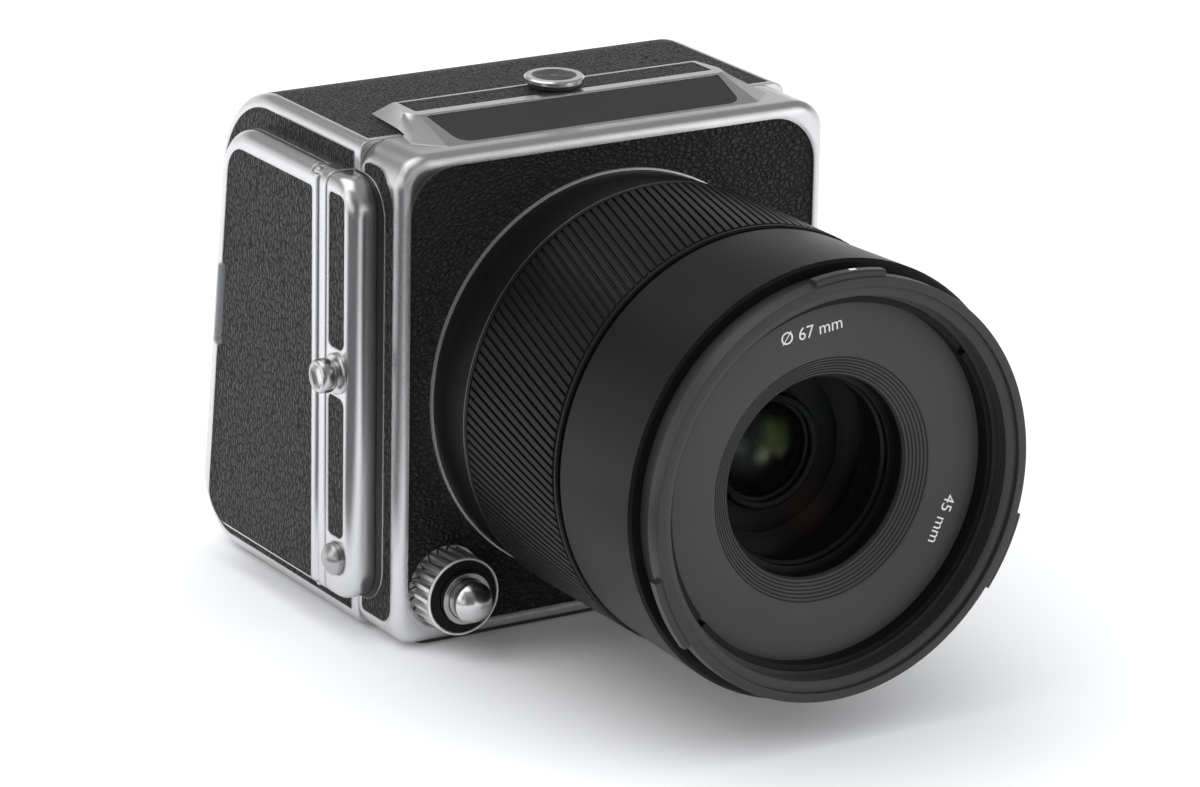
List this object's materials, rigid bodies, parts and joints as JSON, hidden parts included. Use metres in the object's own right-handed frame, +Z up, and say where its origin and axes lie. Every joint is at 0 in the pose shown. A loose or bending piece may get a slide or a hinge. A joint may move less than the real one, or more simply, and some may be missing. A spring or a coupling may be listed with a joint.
{
  "type": "medium_format_digital_camera",
  "caption": "Small boxy medium format digital camera: thin chrome and leather front body, rounded digital back with tilting screen, wide angle lens with ribbed focus ring",
  "frame": {"origin": "the middle of the tripod socket's mouth, in the plane the camera stands on", "axes": "+X is on the right of someone facing the lens, +Y runs from the lens to the screen, +Z is up; the lens axis is parallel to Y, 45.2 mm above the base"},
  "size_m": [0.1013, 0.1473, 0.0944],
  "materials": {
    "chrome_trim": "satin to polished",
    "black_leather": "pebbled grain, slight sheen",
    "black_anodised": "satin black anodised",
    "black_paint": "semi gloss black",
    "plate_grey": "fine matte grey",
    "steel": "turned",
    "brass_contact": "polished",
    "black_plastic": "fine matte",
    "screen_gloss": "gloss black",
    "glass_coated": "coated, faint green and red",
    "sensor_dark": "dark, iridescent",
    "alloy_plain": "milled",
    "board_green": "solder mask",
    "cell_grey": "matte"
  },
  "bodies": {
    "camera_body": {"front_frame": "chrome_trim", "front_leather": "black_leather", "side_leathers": "black_leather", "side_plate": "black_paint", "strap_bar": "chrome_trim", "strap_studs": "steel", "bridge_cover": "chrome_trim", "bridge_leather": "black_leather", "name_plate": "plate_grey", "release_sleeve": "steel", "mount_boss": "black_paint", "mount_ring": "steel", "mount_contacts": "black_plastic", "light_box": "black_plastic", "back_shell": "chrome_trim", "back_leathers": "black_leather", "grip_housing": "chrome_trim", "hinge_pins": "steel", "battery_tray": "black_plastic", "battery": "cell_grey", "sensor_glass": "glass_coated", "image_sensor": "sensor_dark", "heat_sink": "alloy_plain", "main_board": "board_green", "port_sockets": "black_plastic", "base_plates": "black_paint", "tripod_insert": "steel", "case_screws": "steel", "lens_bayonet": "steel", "rear_barrel": "black_anodised", "inner_barrel": "black_anodised", "front_barrel": "black_anodised", "front_rim": "black_anodised", "retaining_ring": "black_anodised", "front_plate": "black_anodised", "throat_ring": "black_anodised", "front_element": "glass_coated", "middle_elements": "glass_coated", "rear_element": "glass_coated", "shutter_unit": "black_paint"},
    "release_wheel_body": {"release_wheel": "steel", "wheel_face": "black_anodised"},
    "release_button_body": {"release_button": "chrome_trim"},
    "lens_release_body": {"lens_release_button": "black_anodised"},
    "lock_pin_body": {"lens_lock_pin": "steel"},
    "latch_body": {"latch_button": "chrome_trim", "latch_hook": "black_paint"},
    "door_body": {"side_door": "chrome_trim", "door_leather": "black_leather"},
    "screen_body": {"screen_housing": "black_paint", "screen_glass": "screen_gloss"},
    "side_button_body": {"side_button": "chrome_trim"},
    "power_button_body": {"power_button": "chrome_trim"},
    "port_door_body": {"port_door": "black_plastic"},
    "focus_ring_body": {"focus_ring": "black_anodised"},
    "rear_button_1_body": {"rear_button_1": "black_plastic"},
    "rear_button_2_body": {"rear_button_2": "black_plastic"},
    "rear_button_3_body": {"rear_button_3": "black_plastic"},
    "rear_button_4_body": {"rear_button_4": "black_plastic"},
    "rear_button_5_body": {"rear_button_5": "black_plastic"}
  },
  "joints": [
    {"name": "focus_turn", "type": "hinge", "parent": "camera_body", "child": "focus_ring_body", "pos_m": [0, -0.0677, 0.0452], "axis": [0, 1, 0], "continuous": true},
    {"name": "wheel_turn", "type": "hinge", "parent": "camera_body", "child": "release_wheel_body", "pos_m": [-0.0335, -0.043, 0.0107], "axis": [0, 1, 0], "continuous": true},
    {"name": "release_press", "type": "slide", "parent": "camera_body", "child": "release_button_body", "axis": [0, 1, 0], "range_m": [0, 0.0012], "stiffness_N_per_m": 900},
    {"name": "lens_release_press", "type": "slide", "parent": "camera_body", "child": "lens_release_body", "axis": [0, 1, 0], "range_m": [0, 0.002], "stiffness_N_per_m": 900},
    {"name": "lock_pin_slide", "type": "slide", "parent": "camera_body", "child": "lock_pin_body", "axis": [0, 1, 0], "range_m": [0, 0.002]},
    {"name": "latch_slide", "type": "slide", "parent": "camera_body", "child": "latch_body", "axis": [1, 0, 0], "range_m": [0, 0.003], "stiffness_N_per_m": 400},
    {"name": "door_swing", "type": "hinge", "parent": "camera_body", "child": "door_body", "pos_m": [-0.0479, -0.0201, 0.0458], "axis": [0, 0, 1], "range_deg": [0, 90]},
    {"name": "screen_tilt", "type": "hinge", "parent": "camera_body", "child": "screen_body", "pos_m": [0, 0.02472, 0.06898], "axis": [1, 0, 0], "range_deg": [0, 90]},
    {"name": "side_button_press", "type": "slide", "parent": "camera_body", "child": "side_button_body", "axis": [1, 0, 0], "range_m": [0, 0.0008], "stiffness_N_per_m": 900},
    {"name": "power_press", "type": "slide", "parent": "camera_body", "child": "power_button_body", "axis": [-1, 0, 0], "range_m": [0, 0.0005], "stiffness_N_per_m": 900},
    {"name": "port_door_swing", "type": "hinge", "parent": "camera_body", "child": "port_door_body", "pos_m": [0.0428, -0.0092, 0.032], "axis": [0, 0, -1], "range_deg": [0, 90]},
    {"name": "rear_button_1_press", "type": "slide", "parent": "camera_body", "child": "rear_button_1_body", "axis": [0, -0.9925, -0.1219], "range_m": [0, 0.0005], "stiffness_N_per_m": 900},
    {"name": "rear_button_2_press", "type": "slide", "parent": "camera_body", "child": "rear_button_2_body", "axis": [0, -0.9925, -0.1219], "range_m": [0, 0.0005], "stiffness_N_per_m": 900},
    {"name": "rear_button_3_press", "type": "slide", "parent": "camera_body", "child": "rear_button_3_body", "axis": [0, -0.9925, -0.1219], "range_m": [0, 0.0005], "stiffness_N_per_m": 900},
    {"name": "rear_button_4_press", "type": "slide", "parent": "camera_body", "child": "rear_button_4_body", "axis": [0, -0.9925, -0.1219], "range_m": [0, 0.0005], "stiffness_N_per_m": 900},
    {"name": "rear_button_5_press", "type": "slide", "parent": "camera_body", "child": "rear_button_5_body", "axis": [0, -0.9925, -0.1219], "range_m": [0, 0.0005], "stiffness_N_per_m": 900}
  ],
  "couplings": [
    {"joint": "lock_pin_slide", "follows": "lens_release_press", "ratio": 1}
  ]
}
